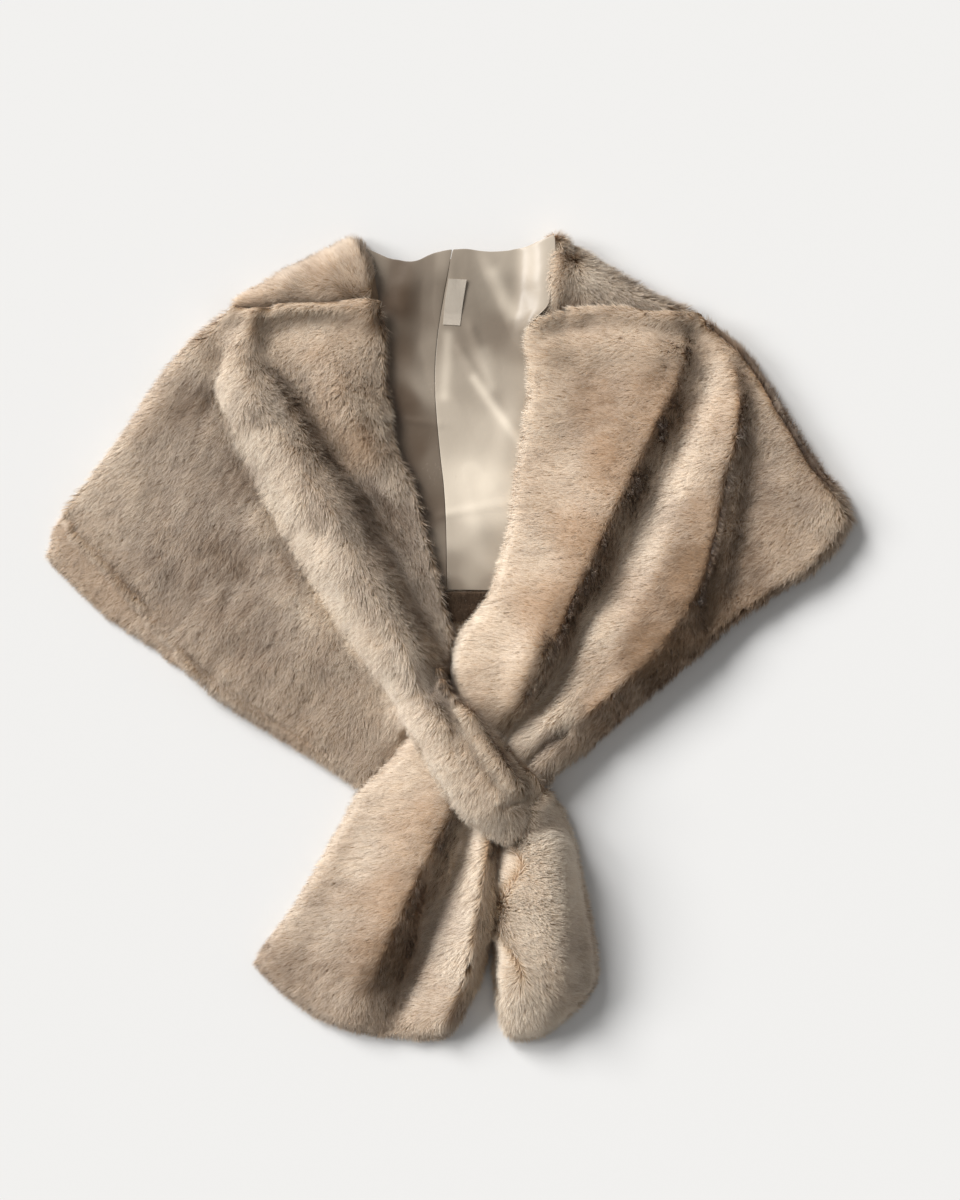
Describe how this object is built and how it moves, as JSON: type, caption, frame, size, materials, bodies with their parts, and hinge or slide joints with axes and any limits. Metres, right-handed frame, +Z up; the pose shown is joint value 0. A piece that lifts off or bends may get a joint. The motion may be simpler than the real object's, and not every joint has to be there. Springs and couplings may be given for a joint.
{
  "type": "fur collar wrap",
  "caption": "Faux-fur shoulder wrap laid flat, satin-lined, closed by pulling one end through a slot in the other front.",
  "frame": {"origin": "on the surface it lies on, under the middle of its outline", "axes": "+Z up from the surface, +Y towards the neck edge, +X to the viewer's right"},
  "size_m": [0.8504, 0.847, 0.0822],
  "materials": {
    "fur": "short dense pile",
    "satin": "soft satin sheen",
    "label": "bare woven tape"
  },
  "bodies": {
    "root": {"back_panel": "fur", "left_front": "fur", "right_front": "fur", "right_tail": "fur", "left_tail": "fur", "back_hem_facing": "fur", "back_lining_left": "satin", "back_lining_right": "satin", "neck_label": "label"}
  },
  "joints": []
}
